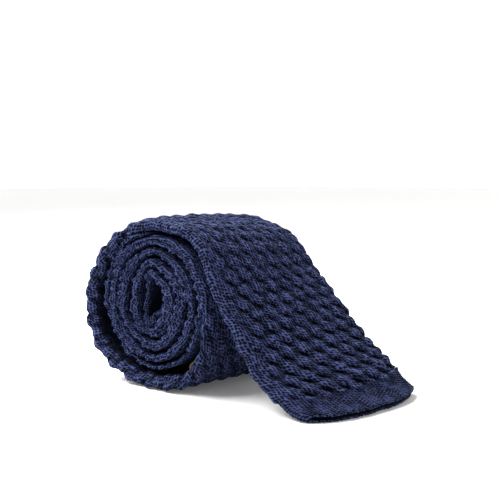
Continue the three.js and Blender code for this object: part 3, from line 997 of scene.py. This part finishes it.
def rolled_strip(tie, knit, stations, seed, width):
    """A pressed strip whose edges are swollen, beaded and wander in and out of the roll."""
    close = (tie.s.clearance - 0.06 * MM) / 2
    for front, back in ((stations.near_front, stations.near_back),
                        (stations.far_front, stations.far_back)):
        way = (back - front) / np.linalg.norm(back - front, axis=1)[:, None]
        back += way * close
        front += way * tie.s.clearance * 1.2
    tube = Tube(tie, stations, ROLLED_PLACES, paired=True)
    columns = stitch_columns(width, knit, ROLLED_FINER)
    stitches = tube.chart_stitches(knit, columns, finer=ROLLED_FINER)
    edge = smooth((np.abs(2 * tube.across - 1) - 0.9) / 0.1)
    lean = np.zeros_like(tube.places)
    out = np.sign(tube.across - 0.5) * edge
    radius = np.hypot(stations.near_back[:, 0], stations.near_back[:, 1] - tie.axis_height)
    lean[..., 1] += out * read_table(RING_STEPS, radius / MM)[:, None] * MM
    for side, other in ((-1, 0), (1, 50)):
        here = np.where(np.sign(tube.across - 0.5) == side, out, 0)
        slow = wander(tube.along, seed + other, SLOW_WANDER, 0.041)
        quick = wander(tube.along, seed + other + 7, QUICK_WANDER, 0.011)
        lean[..., 1] += here * (slow + quick + EDGE_OUT)[:, None]
    pace = tube.along / BEAD_SPACING + wander(tube.along, seed + 3, 0.5, 0.03)
    bead = 0.5 + 0.5 * np.cos(2 * np.pi * pace)[:, None]
    lean[..., 1] += out * (bead - 0.5) * BEAD_OUT
    # painted shade: deep between the turns and at the core the knit is drawn darker, and the
    # beads get a painted highlight on their crests
    crease_shade = smooth((tube.height - 0.2) / 0.8)
    core = smooth(1 - (radius - 4 * MM) / (6 * MM))[:, None]
    tube.relief_and_shade = np.where(edge > 0, (bead - 0.5) * 0.3 - 0.45 * crease_shade, -0.6) - 0.45 * core
    tube.raise_by(((stitches - 0.5) * knit.stitch_relief + (bead - 0.6) * BEAD_RISE) * edge, lean)
    tube.places = settle_core(tie, tube.places)
    return tube


def put_rolled(parts, stations, seed, width, node, slot, rests_on, held, **look):
    """Knits one pressed strip of the roll in place of its node."""
    tie, knit, offset = parts
    tube = rolled_strip(tie, knit, stations, seed, width)
    material = knit_material(node + "_knit", knit, **look)
    put_strip(tube, node + "_knit", material, offset, [node])


class KNIT_OT_neck(bpy.types.Operator):
    """Knit the neck, wound to the fold at the core and out again"""

    bl_idname = "knit.neck"
    bl_label = "Neck"

    def execute(self, context):
        parts = tie_parts()
        tie = parts[0]
        inwards = tie.angle_steps(BLADE_END + 0.3, tie.fold, ROLLED_STEP, tie.wide_radii)
        outwards = tie.angle_steps(tie.fold, NARROW_BLADE_END + 0.5, ROLLED_STEP,
                                   tie.narrow_radii)
        stations = (tie.wide_stations(inwards) + tie.fold_stations(12)
                    + tie.narrow_stations(outwards))
        put_rolled(parts, stations, 11, tie.s.neck_width, "neck", "rolled_knit",
                   ["outer_turn_knit"], "folded", tint=0.95, hole=0.9)
        return {"FINISHED"}


class KNIT_OT_narrow_blade(bpy.types.Operator):
    """Knit the narrow blade, wound inside the wide half"""

    bl_idname = "knit.narrow_blade"
    bl_label = "Narrow Blade"

    def execute(self, context):
        parts = tie_parts()
        tie = parts[0]
        angles = tie.angle_steps(NARROW_BLADE_END - 0.5, NARROW_HEM_END + 0.1, ROLLED_STEP,
                                 tie.narrow_radii)
        put_rolled(parts, tie.narrow_stations(angles), 23, tie.s.narrow_width, "narrow_blade",
                   "rolled_knit", ["neck_knit"], "folded", hole=0.9)
        return {"FINISHED"}


class KNIT_OT_narrow_hem(bpy.types.Operator):
    """Knit the plain hem of the narrow end, on top of the roll"""

    bl_idname = "knit.narrow_hem"
    bl_label = "Narrow Hem"

    def execute(self, context):
        parts = tie_parts()
        tie = parts[0]
        angles = tie.angle_steps(NARROW_HEM_END - 0.1, NARROW_END, NARROW_HEM_STEP,
                                 tie.narrow_radii)
        put_rolled(parts, tie.narrow_stations(angles), 31, tie.s.narrow_width, "narrow_hem",
                   "plain_knit", ["narrow_blade_knit"], "laid", tint=1.2)
        return {"FINISHED"}


class KNIT_OT_keeper_label(bpy.types.Operator):
    """Weave the keeper strip across the back of the wide blade"""

    bl_idname = "knit.keeper_label"
    bl_label = "Keeper Label"

    def execute(self, context):
        tie, knit, offset = tie_parts()
        s = tie.s
        angles = np.linspace(LABEL_FROM, LABEL_TO, 60)
        front, back = tie.on_floor(angles, *tie.wide_radii(angles))
        outside = back - s.clearance
        stations = tie.roll_stations(angles, outside, outside - s.label_thickness, s.label_length)
        tube = Tube(tie, stations, LABEL_PLACES)
        peep = PEEP * np.exp(-((angles - PEEP_AT) / PEEP_SPREAD) ** 2)
        tube.places[..., 1] -= peep[:, None] * (1 - tube.across)
        tube.chart_stitches(knit, stitch_columns(s.label_length, knit), wobble=0.0)
        put_strip(tube, "keeper_label_cloth", cloth_material("label_cloth", knit), offset,
                  ["keeper_label"])
        return {"FINISHED"}


def stage_part(name, profile, sides, glow):
    """Turns a profile of radii and heights through some sides of the round stage."""
    around = np.linspace(0, 2 * math.pi, STAGE_SIDES + 1)[:-1]
    corners = [(r * math.cos(a), r * math.sin(a), z) for r, z in profile for a in around]
    faces = [(i * STAGE_SIDES + j, i * STAGE_SIDES + (j + 1) % STAGE_SIDES,
              (i + 1) * STAGE_SIDES + (j + 1) % STAGE_SIDES, (i + 1) * STAGE_SIDES + j)
             for i in range(len(profile) - 1) for j in sides]
    mesh = bpy.data.meshes.new(name)
    mesh.from_pydata(corners, [], faces)
    mesh.shade_smooth()
    ink = Ink("pale_" + name)
    shader = ink.node("ShaderNodeBsdfPrincipled", {},
                      {"Base Color": PALE, "Roughness": 0.9, "Specular IOR Level": 0.1,
                       "Emission Color": WHITE, "Emission Strength": glow})
    mesh.materials.append(ink.surface(shader))
    return bpy.data.objects.new(name, mesh)


def soft_light(name, place, target, size, power):
    light = bpy.data.lights.new(name, "AREA")
    light.shape = "DISK"
    light.size = size
    light.energy = power
    lamp = bpy.data.objects.new(name, light)
    lamp.location = place
    lamp.rotation_euler = facing(Vector(target) - Vector(place))
    return lamp


def facing(way):
    return way.to_track_quat("-Z", "Y").to_euler()


class KNIT_OT_stage(bpy.types.Operator):
    """Set the pale floor, the soft lights and the camera"""

    bl_idname = "knit.stage"
    bl_label = "Stage"

    def execute(self, context):
        scene = context.scene
        level = [(0.0, 0.0), (FLOOR_REACH, 0.0)]
        cove = [(FLOOR_REACH + COVE_RADIUS * math.sin(a), COVE_RADIUS - COVE_RADIUS * math.cos(a))
                for a in np.linspace(0, math.pi / 2, 13)]
        cove.append((FLOOR_REACH + COVE_RADIUS, WALL_TOP))
        beside = [side for side in range(STAGE_SIDES) if side not in BEHIND]
        made = [stage_part("floor", level, range(STAGE_SIDES), FLOOR_GLOW),
                stage_part("backdrop", cove, BEHIND, BACKDROP_GLOW),
                stage_part("dim_side", cove, beside, SIDE_GLOW)]
        made += [soft_light(*light) for light in LIGHTS]
        lens = bpy.data.cameras.new("camera")
        lens.sensor_width = SENSOR_WIDTH
        lens.lens = FOCAL_LENGTH
        camera = bpy.data.objects.new("camera", lens)
        camera.location = CAMERA_PLACE
        camera.rotation_euler = facing(Vector(CAMERA_WAY))
        for thing in (*made, camera):
            scene.collection.objects.link(thing)
        scene.camera = camera
        world = bpy.data.worlds.new("soft_room")
        world.use_nodes = True
        background = world.node_tree.nodes["Background"]
        background.inputs["Color"].default_value = WHITE
        background.inputs["Strength"].default_value = ROOM_GLOW
        scene.world = world
        scene.view_settings.view_transform = "Standard"
        return {"FINISHED"}


OPERATORS = (KNIT_OT_wide_blade, KNIT_OT_wide_hem, KNIT_OT_neck, KNIT_OT_narrow_blade,
             KNIT_OT_narrow_hem, KNIT_OT_keeper_label, KNIT_OT_stage)


class KNIT_PT_tie(bpy.types.Panel):
    """Lists the pieces of the tie"""

    bl_idname = "KNIT_PT_tie"
    bl_label = "Knit Tie"
    bl_space_type = "VIEW_3D"
    bl_region_type = "UI"
    bl_category = "Knit Tie"

    def draw(self, context):
        for operator in OPERATORS:
            self.layout.operator(operator.bl_idname)
        for group in (context.scene.tie_sizes, context.scene.knit_sizes):
            box = self.layout.box()
            for name in group.__annotations__:
                box.prop(group, name)


CLASSES = (TieSizes, KnitSizes, *OPERATORS, KNIT_PT_tie)


def register():
    for cls in CLASSES:
        bpy.utils.register_class(cls)
    bpy.types.Scene.tie_sizes = PointerProperty(type=TieSizes)
    bpy.types.Scene.knit_sizes = PointerProperty(type=KnitSizes)


def unregister():
    del bpy.types.Scene.knit_sizes
    del bpy.types.Scene.tie_sizes
    for cls in reversed(CLASSES):
        bpy.utils.unregister_class(cls)


def main():
    register()
    for step in (bpy.ops.knit.wide_blade, bpy.ops.knit.wide_hem, bpy.ops.knit.neck,
                 bpy.ops.knit.narrow_blade, bpy.ops.knit.narrow_hem,
                 bpy.ops.knit.keeper_label, bpy.ops.knit.stage):
        step()


if __name__ == "__main__":
    main()
